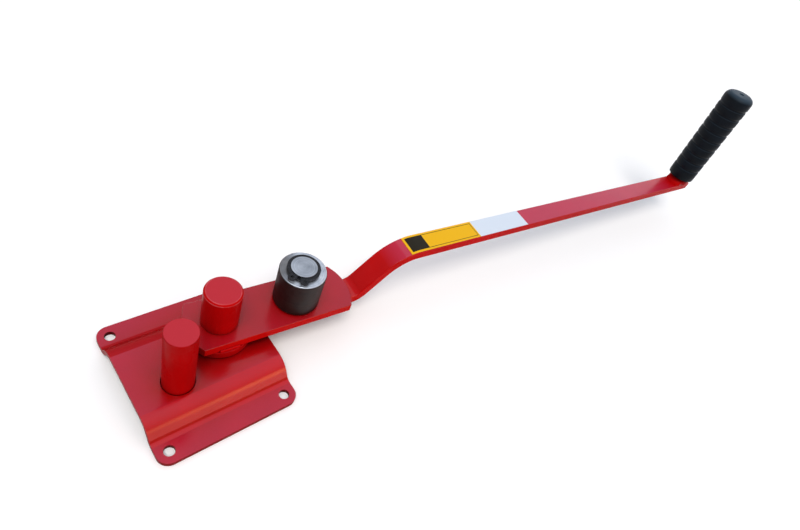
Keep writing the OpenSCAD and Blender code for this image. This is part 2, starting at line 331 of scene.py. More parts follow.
@dataclass(frozen=True)
class LatheMarks:
    """The fine rings of a lathe tool round an axis, with the coordinates that they follow."""

    place: bpy.types.NodeSocket
    flat: bpy.types.Node
    radius: bpy.types.Node
    height: bpy.types.NodeSocket
    rings: bpy.types.Node

    @classmethod
    def draw(cls, tree: bpy.types.NodeTree, axis: Matrix, ring_mm: float) -> "LatheMarks":
        """Add the rings to a material.

        Args:
            tree: The material's node tree.
            axis: The axis that the piece was turned on.
            ring_mm: Spacing of the rings, drawn coarse enough to show.

        Returns:
            The rings and their coordinates.
        """
        place = part_coordinates(tree, axis)
        flat = add(tree, "VectorMath", {0: place, 1: (1.0, 1.0, 0.0)}, operation="MULTIPLY")
        radius = add(tree, "VectorMath", {0: flat}, operation="LENGTH")
        height = add(tree, "SeparateXYZ", {"Vector": place}).outputs["Z"]
        along = add(tree, "Math", {0: radius, 1: height}, operation="ADD")
        rings = add(
            tree, "TexNoise", {"W": along, "Scale": 1 / ring_mm, "Detail": 3.0}, noise_dimensions="1D"
        )
        return cls(place, flat, radius, height, rings)


@dataclass(frozen=True)
class TurnedSteel:
    """Lathe-turned steel: fine rings round the axis, a grey sheen, darker oily patches, and painted shade
    that turns everything below a set height near black.
    """

    name: str
    axis: Matrix
    bright: str = "#c6ccd5"
    dull: str = "#9aa0a9"
    ring_mm: float = 0.9
    patch_mm: float = 9.0
    rough: float = 0.34
    # Painted shade: everything below this height is painted near black.
    painted_dark_below_mm: float = -1000.0
    painted_dark: str = "#2c2b2e"
    ring_share: float = 0.5
    ring_depth_mm: float = 0.05
    ring_strength: float = 0.25

    def build(self) -> bpy.types.Material:
        """Build the material.

        Returns:
            The new material.
        """
        material, tree, surface = start_material(self.name)
        lathe = LatheMarks.draw(tree, self.axis, self.ring_mm)
        patch = add(tree, "TexNoise", {"Vector": lathe.place, "Scale": 1 / self.patch_mm, "Detail": 5.0})
        mixed = add(
            tree, "Math", {0: lathe.rings, 1: self.ring_share, 2: patch}, operation="MULTIPLY_ADD"
        )
        turned = ramp(tree, mixed, [(0.5, self.dull), (0.95, self.bright)])
        # Painted shade: below a set height the steel is painted near black, which keeps the axle's side
        # from glinting in the circlip's gap.
        low = add(tree, "Math", {0: lathe.height, 1: self.painted_dark_below_mm}, operation="LESS_THAN")
        colour = add(tree, "Mix", {0: low, 6: turned, 7: linear(self.painted_dark)}, data_type="RGBA")
        gloss = add(
            tree, "MapRange",
            {
                "Value": patch, "From Min": NOISE_LOW, "From Max": NOISE_HIGH,
                "To Min": self.rough - 0.08, "To Max": self.rough + 0.1,
            },
        )
        bump = add(
            tree, "Bump",
            {"Height": lathe.rings, "Strength": self.ring_strength, "Distance": self.ring_depth_mm * MM},
        )
        shader = add(
            tree, "BsdfPrincipled",
            {
                "Base Color": colour,
                "Metallic": 1.0,
                "Roughness": gloss,
                "Normal": bump,
            },
        )
        tree.links.new(shader.outputs["BSDF"], surface)
        return material


@dataclass(frozen=True)
class OiledRollerSteel:
    """Turned roller steel: bright on its end faces, with a painted dark reflection on one side of them, and
    dark with oil and mill scale on its running face.
    """

    name: str
    axis: Matrix
    face: str = "#dbe2ec"
    face_dull: str = "#aab2bf"
    # A painted dark reflection on one side of the end faces: its colour and the way that side faces.
    face_dark_reflection: str = "#57524f"
    dark_reflection_towards: tuple[float, float, float] = (-0.83, 0.55, 0.0)
    side: str = "#372b28"
    side_dark: str = "#201a1a"
    side_radius_mm: float = 16.5
    ring_mm: float = 1.1
    ring_share: float = 0.5
    ring_depth_mm: float = 0.06
    ring_strength: float = 0.3
    smear_mm: float = 7.0
    side_dulling: float = 0.16
    side_blur_mm: float = 0.1

    def build(self) -> bpy.types.Material:
        """Build the material.

        Returns:
            The new material.
        """
        material, tree, surface = start_material(self.name)
        lathe = LatheMarks.draw(tree, self.axis, self.ring_mm)
        smear = add(tree, "TexNoise", {"Vector": lathe.place, "Scale": 1 / self.smear_mm, "Detail": 5.0})
        mixed = add(
            tree, "Math", {0: lathe.rings, 1: self.ring_share, 2: smear}, operation="MULTIPLY_ADD"
        )
        face = ramp(tree, mixed, [(0.55, self.face_dull), (0.95, self.face)])
        # Painted reflection: one side of the end face, round the axis, darkens as if it mirrored something
        # dark.
        around = add(tree, "VectorMath", {0: lathe.flat}, operation="NORMALIZE")
        turned = add(tree, "VectorMath", {0: around, 1: self.dark_reflection_towards}, operation="DOT_PRODUCT")
        painted_dark = add(
            tree, "MapRange",
            {"Value": turned, "From Min": 0.3, "From Max": 0.95, "To Max": 0.8},
            interpolation_type="SMOOTHSTEP",
        )
        reflected_face = add(tree, "Mix", {0: painted_dark, 6: face, 7: linear(self.face_dark_reflection)}, data_type="RGBA")
        side = ramp(tree, mixed, [(0.5, self.side_dark), (0.95, self.side)])
        outer = add(
            tree, "MapRange",
            {
                "Value": lathe.radius,
                "From Min": self.side_radius_mm - self.side_blur_mm,
                "From Max": self.side_radius_mm + self.side_blur_mm,
            },
        )
        colour = add(tree, "Mix", {0: outer, 6: reflected_face, 7: side}, data_type="RGBA")
        gloss = add(
            tree, "MapRange",
            {
                "Value": smear, "From Min": NOISE_LOW, "From Max": NOISE_HIGH,
                "To Min": 0.24, "To Max": 0.4,
            },
        )
        dulled = add(tree, "Math", {0: outer, 1: self.side_dulling, 2: gloss}, operation="MULTIPLY_ADD")
        bump = add(
            tree, "Bump",
            {"Height": lathe.rings, "Strength": self.ring_strength, "Distance": self.ring_depth_mm * MM},
        )
        round_axis = add(
            tree, "VectorMath", {0: (0.0, 0.0, 1.0), 1: lathe.flat}, operation="CROSS_PRODUCT"
        )
        shader = add(
            tree, "BsdfPrincipled",
            {
                "Base Color": colour,
                "Metallic": 0.75,
                "Roughness": dulled,
                "Normal": bump,
                "Anisotropic": 0.9,
                "Tangent": round_axis,
            },
        )
        tree.links.new(shader.outputs["BSDF"], surface)
        return material


@dataclass(frozen=True)
class BlackOxide:
    """Oiled black oxide on spring steel: nearly black, with a low soft sheen."""

    name: str = "black_oxide_spring_steel"
    colour: str = "#17171b"
    edge_patch_share: str = "#303138"
    grain_mm: float = 1.2
    grain_depth_mm: float = 0.05

    def build(self) -> bpy.types.Material:
        """Build the material.

        Returns:
            The new material.
        """
        material, tree, surface = start_material(self.name)
        place = part_coordinates(tree)
        grain = add(tree, "TexNoise", {"Vector": place, "Scale": 1 / self.grain_mm, "Detail": 4.0})
        colour = ramp(tree, grain, [(0.45, self.colour), (0.75, self.edge_patch_share)])
        bump = add(tree, "Bump", {"Height": grain, "Strength": 0.1, "Distance": self.grain_depth_mm * MM})
        shader = add(
            tree, "BsdfPrincipled",
            {
                "Base Color": colour, "Metallic": 0.4, "Roughness": 0.42,
                "Normal": bump,
            },
        )
        tree.links.new(shader.outputs["BSDF"], surface)
        return material


@dataclass(frozen=True)
class MouldedRubber:
    """Moulded grip rubber: black with a blue cast, a fine matt grain, handled, shinier patches, and a
    painted sky reflection that lightens its upward faces.
    """

    name: str = "moulded_black_rubber"
    colour: str = "#050a10"
    dusty: str = "#0a121b"
    # Colour of the painted sky reflection on upward faces.
    painted_sky_sheen: str = "#33424f"
    grain_mm: float = 0.8
    grain_depth_mm: float = 0.08
    patch_mm: float = 14.0
    top_from: float = 0.3

    def build(self) -> bpy.types.Material:
        """Build the material.

        Returns:
            The new material.
        """
        material, tree, surface = start_material(self.name)
        place = part_coordinates(tree)
        grain = add(tree, "TexNoise", {"Vector": place, "Scale": 1 / self.grain_mm, "Detail": 3.0})
        patch = add(tree, "TexNoise", {"Vector": place, "Scale": 1 / self.patch_mm, "Detail": 3.0})
        skin = ramp(tree, patch, [(0.35, self.colour), (0.75, self.dusty)])
        # Painted sky reflection: upward faces turn towards a pale blue-grey.
        facing = add(tree, "SeparateXYZ", {"Vector": add(tree, "NewGeometry").outputs["Normal"]})
        upward = add(tree, "MapRange", {"Value": facing.outputs["Z"], "From Min": self.top_from})
        colour = add(tree, "Mix", {0: upward, 6: skin, 7: linear(self.painted_sky_sheen)}, data_type="RGBA")
        gloss = add(
            tree, "MapRange",
            {
                "Value": patch, "From Min": NOISE_LOW, "From Max": NOISE_HIGH,
                "To Min": 0.38, "To Max": 0.55,
            },
        )
        bump = add(
            tree, "Bump", {"Height": grain, "Strength": 0.12, "Distance": self.grain_depth_mm * MM}
        )
        shader = add(
            tree, "BsdfPrincipled",
            {
                "Base Color": colour, "Roughness": gloss,
                "Normal": bump, "IOR": 1.52, "Specular IOR Level": 0.1,
            },
        )
        tree.links.new(shader.outputs["BSDF"], surface)
        return material


@dataclass(frozen=True)
class LabelFilm:
    """Printed vinyl film: an even colour with a thin border and one blank printed block."""

    name: str
    place: Matrix
    length_mm: float
    start_mm: float
    width_mm: float
    film: str
    ink: str
    border_mm: float
    line_mm: float
    block_mm: float
    ripple_mm: float = 12.0
    ripple_depth_mm: float = 0.1

    def build(self) -> bpy.types.Material:
        """Build the material.

        Returns:
            The new material.
        """
        material, tree, surface = start_material(self.name)
        place = part_coordinates(tree, self.place)
        axes = add(tree, "SeparateXYZ", {"Vector": place})
        across = add(tree, "Math", {0: axes.outputs["Y"]}, operation="ABSOLUTE")
        side_gap = add(tree, "Math", {0: self.width_mm / 2, 1: across}, operation="SUBTRACT")
        near_gap = add(tree, "Math", {0: axes.outputs["X"], 1: self.start_mm}, operation="SUBTRACT")
        far_gap = add(tree, "Math", {0: self.length_mm, 1: near_gap}, operation="SUBTRACT")
        ends = add(tree, "Math", {0: near_gap, 1: far_gap}, operation="MINIMUM")
        edge = add(tree, "Math", {0: ends, 1: side_gap}, operation="MINIMUM")
        outside = add(tree, "Math", {0: edge, 1: self.border_mm}, operation="GREATER_THAN")
        inside = add(tree, "Math", {0: edge, 1: self.border_mm + self.line_mm}, operation="LESS_THAN")
        line = add(tree, "Math", {0: outside, 1: inside}, operation="MULTIPLY")
        block = add(tree, "Math", {0: near_gap, 1: self.block_mm}, operation="LESS_THAN")
        within = add(tree, "Math", {0: block, 1: outside}, operation="MULTIPLY")
        printed = add(tree, "Math", {0: line, 1: within}, operation="MAXIMUM")
        colour = add(
            tree, "Mix", {0: printed, 6: linear(self.film), 7: linear(self.ink)}, data_type="RGBA"
        )
        ripple = add(tree, "TexNoise", {"Vector": place, "Scale": 1 / self.ripple_mm, "Detail": 2.0})
        gloss = add(
            tree, "MapRange",
            {
                "Value": ripple, "From Min": NOISE_LOW, "From Max": NOISE_HIGH,
                "To Min": 0.3, "To Max": 0.4,
            },
        )
        bump = add(
            tree, "Bump", {"Height": ripple, "Strength": 0.08, "Distance": self.ripple_depth_mm * MM}
        )
        shader = add(
            tree, "BsdfPrincipled",
            {
                "Base Color": colour, "Roughness": gloss,
                "Normal": bump, "IOR": 1.46, "Specular IOR Level": 0.2,
            },
        )
        tree.links.new(shader.outputs["BSDF"], surface)
        return material


@dataclass(frozen=True)
class Finishes:
    """The finishes of all the pieces, built once."""

    enamel: bpy.types.Material
    # The sheet, base, side, front, foot and rear enamels are lit and shaded copies of one red paint:
    # painted light and shade.
    shaded_sheet_enamel: bpy.types.Material
    shaded_base_enamel: bpy.types.Material
    pin_enamel: bpy.types.Material
    arm_enamel: bpy.types.Material
    slope_enamel: bpy.types.Material
    lit_side_enamel: bpy.types.Material
    lit_front_enamel: bpy.types.Material
    shaded_foot_enamel: bpy.types.Material
    shaded_rear_enamel: bpy.types.Material
    steel: bpy.types.Material
    roller: bpy.types.Material
    bronze: bpy.types.Material
    oxide: bpy.types.Material
    rubber: bpy.types.Material


def build_finishes(axis: Matrix) -> Finishes:
    """Build all the finishes. The enamels are copies of one red paint whose colours are painted light and
    shade: lighter on lit upright sides and the front fold, darker on the plate, the base, its rear faces
    and the fold's foot; they also differ in gloss and in their painted sky reflection.

    Args:
        axis: The axle's frame, which the turned pieces take their rings from.

    Returns:
        The finishes.
    """
    # The arm's copy paints a stronger pink sky reflection, only where its top lies far from other parts.
    arm = RedEnamel(
        "sprayed_red_enamel_arm", painted_sky_sheen="#b8527e", edge_share=0.15, shine=0.45, sky_sheen_share=0.34,
        smooth=0.16, shelter_mm=100.0, open_from=0.82,
    )
    return Finishes(
        enamel=RedEnamel().build(),
        # Painted shade: a darker copy of the enamel for the lever plate.
        shaded_sheet_enamel=RedEnamel(
            "sprayed_red_enamel_sheet", colour="#ae0507", thin_colour="#a00406", painted_sky_sheen="#a0325a",
            shine=0.5, sky_sheen_share=0.23, smooth=0.15,
        ).build(),
        # Painted shade: a darker copy of the enamel for the base, with painted corner shade starting
        # sooner.
        shaded_base_enamel=RedEnamel(
            "sprayed_red_enamel_base", colour="#b60507", thin_colour="#a80406", painted_sky_sheen="#a43660",
            shine=0.45, sky_sheen_share=0.3, smooth=0.13, painted_shade_from=0.92, open_from=0.75,
        ).build(),
        # Painted highlight: the pins' rounded edges get a pale pink tint.
        pin_enamel=RedEnamel("sprayed_red_enamel_pin", edge_colour="#e08a90", edge_share=0.25).build(),
        arm_enamel=arm.build(),
        slope_enamel=replace(arm, name="sprayed_red_enamel_slope", shine=0.12).build(),
        # Painted light: a brighter copy of the enamel for upright sides, with little shine.
        lit_side_enamel=RedEnamel(
            "sprayed_red_enamel_edge", colour="#d60d0c", thin_colour="#c80b0a", edge_share=0.0, shine=0.015,
            sky_sheen_share=0.2,
        ).build(),
        # Painted light: a brighter copy of the enamel for the base's front fold.
        lit_front_enamel=RedEnamel(
            "sprayed_red_enamel_front", colour="#ba0608", thin_colour="#ac0507", painted_sky_sheen="#b0344e", shine=0.4,
            sky_sheen_share=0.3, smooth=0.13,
        ).build(),
        # Painted shade: a darker copy of the enamel for the foot of the front fold, where it meets the
        # flange.
        shaded_foot_enamel=RedEnamel(
            "sprayed_red_enamel_foot", colour="#a80606", thin_colour="#9c0505", edge_share=0.0, shine=0.12,
            sky_sheen_share=0.3,
        ).build(),
        # Painted shade: a darker copy of the enamel for the rear fold and the base's upright sides.
        shaded_rear_enamel=RedEnamel(
            "sprayed_red_enamel_rear", colour="#a40507", thin_colour="#980406", edge_share=0.0, shine=0.015,
            sky_sheen_share=0.3,
        ).build(),
        steel=TurnedSteel("turned_axle_steel", axis, painted_dark_below_mm=65.38, rough=0.45).build(),
        roller=OiledRollerSteel("oiled_roller_steel", axis).build(),
        bronze=TurnedSteel("turned_bearing_bronze", axis, bright="#c79a58", dull="#8f6a37").build(),
        oxide=BlackOxide().build(),
        rubber=MouldedRubber().build(),
    )


def shade(piece: bpy.types.Object, sharp_degrees: float = 40.0) -> None:
    """Smooth a piece's faces and keep its sharp edges.

    Args:
        piece: The mesh object.
        sharp_degrees: Edges that turn by more stay sharp.
    """
    piece.data.shade_smooth()
    piece.data.set_sharp_from_angle(angle=math.radians(sharp_degrees))


def settle(
    shape: bmesh.types.BMesh,
    name: str,
    body: Body,
    finish: bpy.types.Material,
    nodes: Iterable[str],
) -> bpy.types.Object:
    """Turn a bmesh into a finished piece that rides on a body.

    Args:
        shape: The mesh, in metres, in the part's frame. It is freed.
        name: The piece's name.
        body: The body that carries it.
        finish: Its material.
        nodes: The CAD nodes that it stands for.

    Returns:
        The new object.
    """
    mesh = bpy.data.meshes.new(name)
    shape.to_mesh(mesh)
    shape.free()
    piece = bpy.data.objects.new(name, mesh)
    bpy.context.scene.collection.objects.link(piece)
    mesh.materials.append(finish)
    shade(piece)
    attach(piece, body.value)
    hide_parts(*nodes)
    LOG.info("piece %s: %d faces on %s", name, len(mesh.polygons), body.value)
    return piece


def paint_node(frame: Mapping[str, Any], node: str, finish: bpy.types.Material) -> None:
    """Give a CAD node a better material.

    Args:
        frame: The loaded frame.
        node: The node's name.
        finish: Its material.
    """
    mesh = frame["nodes"][node].data
    mesh.materials.clear()
    mesh.materials.append(finish)
    LOG.info("node %s: %s", node, finish.name)


def softened(
    frame: Mapping[str, Any], node: str, edge_mm: float, segments: int = 3
) -> bmesh.types.BMesh:
    """Copy a CAD node, round its sharp edges and mark them for the enamel's edge tint, which is partly thin
    paint and partly painted shade and highlight.

    Args:
        frame: The loaded frame.
        node: The node's name.
        edge_mm: Width of the rounding.
        segments: Steps in the rounding.

    Returns:
        The rounded copy.
    """
    shape = bmesh.new()
    shape.from_mesh(frame["nodes"][node].data)
    bmesh.ops.remove_doubles(shape, verts=shape.verts, dist=MERGE_MM * MM)
    bmesh.ops.dissolve_limit(
        shape, angle_limit=math.radians(FLAT_DEGREES), verts=shape.verts, edges=shape.edges
    )
    sharp = [
        edge for edge in shape.edges
        if len(edge.link_faces) == 2 and edge.calc_face_angle() > math.radians(SHARP_DEGREES)
    ]
    layer = shape.faces.layers.float.new(EDGE_LAYER)
    rounded = bmesh.ops.bevel(
        shape, geom=sharp, offset=edge_mm * MM, offset_type="OFFSET", segments=segments,
        profile=0.5, affect="EDGES", material=-1, clamp_overlap=True,
    )
    for face in rounded["faces"]:
        face[layer] = 1.0
    return shape


def keep_flats(piece: bpy.types.Object) -> bpy.types.Object:
    """Let large flat faces keep their own normals beside rounded edges.

    Args:
        piece: The rounded piece.

    Returns:
        The same piece.
    """
    modifier = piece.modifiers.new("flats", "WEIGHTED_NORMAL")
    modifier.keep_sharp = True
    modifier.weight = FLAT_WEIGHT
    return piece


def coat_sides(piece: bpy.types.Object, finish: bpy.types.Material, steepest: float = 0.35) -> None:
    """Give a piece's upright edges a duller coat than its faces, a copy of the enamel whose colour paints
    the light and shade that those edges get.

    Args:
        piece: The painted piece.
        finish: The duller coat, a copy of the enamel coloured as painted light or shade.
        steepest: How far up an upright face's normal may point.
    """
    piece.data.materials.append(finish)
    for face in piece.data.polygons:
        if abs(face.normal.z) < steepest:
            face.material_index = len(piece.data.materials) - 1


def coat_fold(
    piece: bpy.types.Object,
    finish: bpy.types.Material,
    towards: Vector,
    lean: float,
    below_mm: float = math.inf,
) -> None:
    """Give the upper faces of a fold a coat of their own.

    Args:
        piece: The painted piece.
        finish: The fold's coat.
        towards: The way that the fold faces.
        lean: How far a normal leans that way before its face counts.
        below_mm: Height that the middle of such a face lies under.
    """
    piece.data.materials.append(finish)
    for face in piece.data.polygons:
        if face.normal.z > 0 and face.normal.dot(towards) > lean and face.center.z < below_mm * MM:
            face.material_index = len(piece.data.materials) - 1


def bead_drops(shape: bmesh.types.BMesh, places: Iterable[tuple[Vector, Vector]], width_mm: float) -> None:
    """Lay a weld bead as overlapping drops.

    Args:
        shape: The bmesh that gets the drops.
        places: Centre and running direction of each drop, in millimetres in the part's frame.
        width_mm: Width of the bead.
    """
    for centre, run in places:
        turn = run.to_track_quat("X", "Z").to_matrix().to_4x4()
        matrix = (
            Matrix.Translation(centre * MM) @ turn
            @ Matrix.Diagonal((0.45 * width_mm * MM, 0.5 * width_mm * MM, 0.5 * width_mm * MM, 1.0))
        )
        bmesh.ops.create_uvsphere(shape, u_segments=14, v_segments=8, radius=1.0, matrix=matrix)


@dataclass
class LeverFrame:
    """The lever's own axes: along it from the pivot, across it, and up."""

    pivot_x: float = 19.45
    pivot_y: float = 12.55
    angle: float = -5.25

    @property
    def matrix(self) -> Matrix:
        """The frame as a matrix in metres."""
        return Matrix.Translation((self.pivot_x * MM, self.pivot_y * MM, 0)) @ Matrix.Rotation(
            math.radians(self.angle), 4, "Z"
        )

    def point(self, u: float, n: float, z: float) -> Vector:
        """Give a point of the lever in the part's frame, in millimetres."""
        return (self.matrix @ (Vector((u, n, z)) * MM)) / MM

    def direction(self, u: float, n: float, z: float) -> Vector:
        """Give a direction of the lever in the part's frame."""
        return self.matrix.to_3x3() @ Vector((u, n, z))

    def row(self, start: float, end: float, n: float, z: float, count: int) -> list[tuple[Vector, Vector]]:
        """Place the drops of a straight bead along the lever.

        Args:
            start: Where the bead starts along the lever.
            end: Where it ends.
            n: Its place across the lever.
            z: Its height.
            count: Number of drops.

        Returns:
            Centres and running directions.
        """
        spacing = (end - start) / (count - 1)
        run = self.direction(1, 0, 0)
        return [(self.point(start + spacing * step, n, z), run) for step in range(count)]


@dataclass
class BenchBase:
    """The folded base with its two posts and their welds below."""

    stop: tuple[float, float] = (-19.2, -10.7)
    pivot: tuple[float, float] = (19.45, 12.55)
    under_z: float = 12.25
    stop_r: float = 10.3
    shank_r: float = 9.0
    bead: float = 3.4
    bead_sink: float = 0.2
    bead_out: float = 0.4
    drops: int = 40
    edge: float = 0.6
    stop_edge: float = 0.5
    centre_edge: float = 0.35
    fold_lean: float = 0.1
    foot_lean: float = 0.6
    foot_top: float = 5.8

    def ring_places(self, centre: tuple[float, float], radius: float) -> list[tuple[Vector, Vector]]:
        """Place the drops of a round bead under the base.

        Args:
            centre: The post's place.
            radius: The post's radius.

        Returns:
            Centres and running directions.
        """
        places = []
        for step in range(self.drops):
            turn = 2 * math.pi * step / self.drops
            out = Vector((math.cos(turn), math.sin(turn), 0))
            middle = Vector((*centre, self.under_z - self.bead_sink)) + out * (radius + self.bead_out)
            places.append((middle, Vector((-out.y, out.x, 0))))
        return places

    def build(self, frame: Mapping[str, Any], finishes: Finishes) -> None:
        """Build and dress the base.

        Args:
            frame: The loaded frame.
            finishes: The finishes.
        """
        for node, edge, finish in (
            ("base_plate", self.edge, finishes.shaded_base_enamel),
            ("stop_pin", self.stop_edge, finishes.enamel),
            ("centre_pin", self.centre_edge, finishes.pin_enamel),
        ):
            piece = keep_flats(settle(
                softened(frame, node, edge), f"{node}_painted", Body.BASE, finish, [node],
            ))
            if node == "base_plate":
                # Painted light and shade: the front fold gets a lighter copy of the enamel; its foot, the
                # rear fold and the upright sides get darker copies.
                coat_fold(piece, finishes.lit_front_enamel, FRONT, self.fold_lean)
                coat_fold(piece, finishes.shaded_foot_enamel, FRONT, self.foot_lean, self.foot_top)
                coat_fold(piece, finishes.shaded_rear_enamel, REAR, self.fold_lean)
                coat_sides(piece, finishes.shaded_rear_enamel)
        for node, centre, radius in (
            ("stop_pin_weld", self.stop, self.stop_r),
            ("centre_pin_weld", self.pivot, self.shank_r),
        ):
            shape = bmesh.new()
            bead_drops(shape, self.ring_places(centre, radius), self.bead)
            settle(shape, f"{node}_bead", Body.BASE, finishes.enamel, [node])
        paint_node(frame, "thrust_washer", finishes.bronze)


@dataclass
class LeverHead:
    """The lever plate on its boss, with the beads that join them."""

    lever: LeverFrame
    plate_half: float = 20.0
    plate_z: float = 22.85
    bead: float = 2.6
    bead_half: float = 6.2
    bead_out: float = 0.2
    bead_rise: float = 0.3
    drops: int = 13
    edge: float = 0.7
    boss_edge: float = 0.5

    def build(self, frame: Mapping[str, Any], finishes: Finishes) -> None:
        """Build and dress the plate, boss and beads.

        Args:
            frame: The loaded frame.
            finishes: The finishes.
        """
        for node, edge, finish in (
            ("lever_plate", self.edge, finishes.shaded_sheet_enamel),
            ("pivot_boss", self.boss_edge, finishes.enamel),
        ):
            piece = keep_flats(settle(
                softened(frame, node, edge), f"{node}_painted", Body.LEVER, finish, [node],
            ))
            if node == "lever_plate":
                # Painted light: the plate's upright sides get a brighter copy of the enamel.
                coat_sides(piece, finishes.lit_side_enamel)
        shape = bmesh.new()
        for side in (-1, 1):
            places = self.lever.row(
                -self.bead_half, self.bead_half, side * (self.plate_half + self.bead_out),
                self.plate_z + self.bead_rise, self.drops,
            )
            bead_drops(shape, places, self.bead)
        settle(
            shape, "pivot_boss_weld_bead", Body.LEVER, finishes.enamel, ["pivot_boss_weld"],
        )
        paint_node(frame, "pivot_bush", finishes.bronze)


@dataclass
class CrankedArm:
    """The flat-bar arm, its welds under the plate and its two blank labels."""

    lever: LeverFrame
    half_width: float = 9.5
    plate_z: float = 22.85
    weld_from: float = 75.6
    weld_to: float = 94.2
    bead: float = 3.4
    bead_out: float = 0.5
    bead_sink: float = 0.5
    drops: int = 17
    edge: float = 0.9
    slope_lean: float = 0.3
    label_width: float = 18.0
    front_start: float = 149.7
    front_length: float = 75.5
    rear_length: float = 61.0

    def build(self, frame: Mapping[str, Any], finishes: Finishes) -> None:
        """Build and dress the arm.

        Args:
            frame: The loaded frame.
            finishes: The finishes.
        """
        arm = keep_flats(settle(
            softened(frame, "arm", self.edge), "arm_painted", Body.LEVER,
            finishes.arm_enamel, ["arm"],
        ))
        coat_fold(arm, finishes.slope_enamel, self.lever.direction(-1, 0, 0), self.slope_lean)
        # Painted light: the arm's upright sides get a brighter copy of the enamel.
        coat_sides(arm, finishes.lit_side_enamel)
        shape = bmesh.new()
        for side in (-1, 1):
            places = self.lever.row(
                self.weld_from, self.weld_to, side * (self.half_width + self.bead_out),
                self.plate_z - self.bead_sink, self.drops,
            )
            bead_drops(shape, places, self.bead)
        settle(shape, "arm_weld_bead", Body.LEVER, finishes.enamel, ["arm_weld"])
        front = LabelFilm(
            "yellow_vinyl_film", self.lever.matrix, self.front_length, self.front_start, self.label_width,
            film="#e8b20a", ink="#1f1a0c", border_mm=1.8, line_mm=0.5, block_mm=19.0,
        )
        rear = LabelFilm(
            "white_vinyl_film", self.lever.matrix, self.rear_length, self.front_start + self.front_length,
            self.label_width, film="#d3deec", ink="#b9c1cd", border_mm=0.7, line_mm=0.0, block_mm=0.0,
        )
        paint_node(frame, "front_label", front.build())
        paint_node(frame, "rear_label", rear.build())


@dataclass
class RollerSet:
    """The roller on its axle, with washer, bush and circlip."""

    lever: LeverFrame
    axle_u: float = 57.3
    plate_z: float = 22.85
    spigot_r: float = 7.5
    bead: float = 3.0
    bead_sink: float = 0.3
    drops: int = 30
    cap: float = 0.8
    roller_edge: float = 0.25
    axle_edge: float = 0.15
    clip_edge: float = 0.18

    @property
    def axis(self) -> Matrix:
        """The axle's frame."""
        return self.lever.matrix @ Matrix.Translation((self.axle_u * MM, 0, 0))

    def build(self, frame: Mapping[str, Any], finishes: Finishes) -> None:
        """Build and dress the roller set.

        Args:
            frame: The loaded frame.
            finishes: The finishes.
        """
        keep_flats(settle(
            softened(frame, "roller", self.roller_edge), "roller_turned", Body.ROLLER,
            finishes.roller, ["roller"],
        ))
        keep_flats(settle(
            softened(frame, "roller_axle", self.axle_edge, 2), "roller_axle_turned", Body.LEVER,
            finishes.steel, ["roller_axle"],
        ))
        for node in ("roller_circlip", "clip_washer"):
            keep_flats(settle(
                softened(frame, node, self.clip_edge, 2), f"{node}_stamped", Body.LEVER,
                finishes.oxide, [node],
            ))
        shape = bmesh.new()
        places = []
        for step in range(self.drops):
            turn = 2 * math.pi * step / self.drops
            out = (math.cos(turn), math.sin(turn))
            places.append((
                self.lever.point(
                    self.axle_u + out[0] * self.spigot_r, out[1] * self.spigot_r,
                    self.plate_z - self.bead_sink,
                ),
                self.lever.direction(-out[1], out[0], 0),
            ))
        bead_drops(shape, places, self.bead)
        cap_at = Matrix.Translation(self.lever.point(self.axle_u, 0, self.plate_z - self.cap / 2) * MM)
        bmesh.ops.create_cone(
            shape, cap_ends=True, segments=48, radius1=self.spigot_r * MM, radius2=self.spigot_r * MM,
            depth=self.cap * MM, matrix=cap_at,
        )
        settle(
            shape, "roller_axle_weld_bead", Body.LEVER, finishes.enamel,
            ["roller_axle_weld"],
        )
        paint_node(frame, "roller_washer", finishes.steel)
        paint_node(frame, "roller_bush", finishes.steel)


